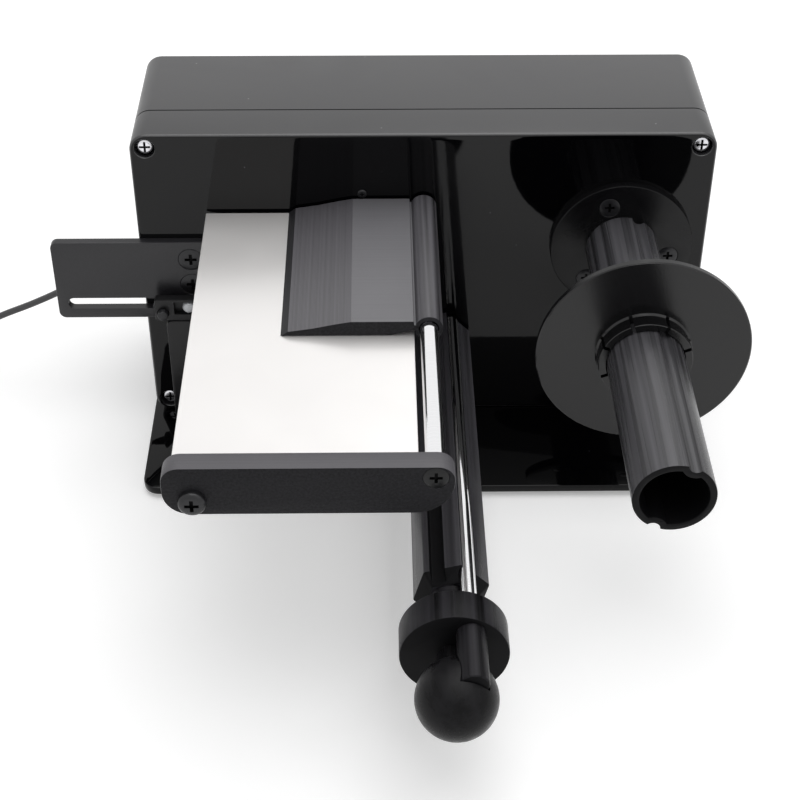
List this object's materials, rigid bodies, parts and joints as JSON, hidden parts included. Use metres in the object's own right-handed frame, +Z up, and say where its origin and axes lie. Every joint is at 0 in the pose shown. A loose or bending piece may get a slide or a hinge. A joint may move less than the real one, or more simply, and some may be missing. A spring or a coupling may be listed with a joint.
{
  "type": "label dispenser machine",
  "caption": "Desk label peeler: black enclosure with roll tube and sliding disc, peel plate under a hinged flap, slotted sensor bracket and driven take-up spindle with pull-off knob.",
  "frame": {"origin": "on the standing surface, under the middle of the machine without its cord", "axes": "+X to the operator's right along the enclosure, +Y from the front to the back, +Z up"},
  "size_m": [0.3795, 0.2484, 0.123],
  "materials": {
    "enclosure": "gloss black moulded shells",
    "acrylic": "polished black sheet",
    "printed": "satin black print with fine layer lines",
    "peel_metal": "satin",
    "rod_chrome": "polished",
    "zinc_screws": "bright zinc",
    "dark_screws": "blackened",
    "feet": "matt",
    "lens": "clear",
    "board": "green laminate",
    "motor_steel": "plain",
    "vinyl": "satin black"
  },
  "bodies": {
    "chassis": {"front_lid": "enclosure", "rear_case": "enclosure", "base_plate": "acrylic", "foot_1": "feet", "foot_2": "feet", "foot_3": "feet", "foot_4": "feet", "guide_rod": "rod_chrome", "spacer_rod": "rod_chrome", "end_plate": "printed", "peel_plate": "peel_metal", "rear_rail": "printed", "sensor_bracket": "printed", "spool_holder": "printed", "spindle_bush": "printed", "motor_mount": "printed", "gearmotor": "motor_steel", "control_board": "board", "power_inlet": "printed", "lid_screw_1": "zinc_screws", "lid_screw_2": "zinc_screws", "lid_screw_3": "zinc_screws", "lid_screw_4": "zinc_screws", "base_screw_1": "dark_screws", "base_screw_2": "dark_screws", "base_screw_3": "dark_screws", "base_screw_4": "dark_screws", "bracket_screw_1": "dark_screws", "bracket_screw_2": "dark_screws", "spool_screw_1": "dark_screws", "spool_screw_2": "dark_screws", "spool_screw_3": "dark_screws", "end_screw_guide": "dark_screws", "end_screw_spacer": "dark_screws", "rod_screw_guide": "dark_screws", "rod_screw_spacer": "dark_screws", "face_screw": "zinc_screws", "power_plug": "vinyl", "plug_relief": "vinyl", "cord_run": "vinyl", "cord_coil": "vinyl", "cord_tail": "vinyl", "supply_body": "vinyl", "supply_relief": "vinyl", "supply_pin_left": "rod_chrome", "supply_pin_right": "rod_chrome"},
    "flap": {"press_flap": "printed"},
    "carrier": {"sensor_carrier": "printed", "carrier_stud": "dark_screws", "carrier_nut": "zinc_screws", "sensor_emitter": "lens", "sensor_receiver": "lens", "sensor_cover": "printed"},
    "disc": {"supply_disc": "printed"},
    "takeup": {"spindle": "printed", "drive_shaft": "motor_steel"},
    "puller": {"puller_collar": "printed", "ball_knob": "printed", "clip_rod": "rod_chrome"}
  },
  "joints": [
    {"name": "flap_hinge", "type": "hinge", "parent": "chassis", "child": "flap", "pos_m": [0.013, 0.06415, 0.0955], "axis": [0, 1, 0], "range_deg": [0, 110]},
    {"name": "carrier_slide", "type": "slide", "parent": "chassis", "child": "carrier", "axis": [1, 0, 0], "range_m": [-0.03, 0.012]},
    {"name": "disc_slide", "type": "slide", "parent": "chassis", "child": "disc", "axis": [0, 1, 0], "range_m": [-0.063, 0.058]},
    {"name": "takeup_turn", "type": "hinge", "parent": "chassis", "child": "takeup", "pos_m": [0.0189, 0.06415, 0.0387], "axis": [0, 1, 0], "continuous": true},
    {"name": "puller_slide", "type": "slide", "parent": "takeup", "child": "puller", "axis": [0, -1, 0], "range_m": [0, 0.145]}
  ]
}
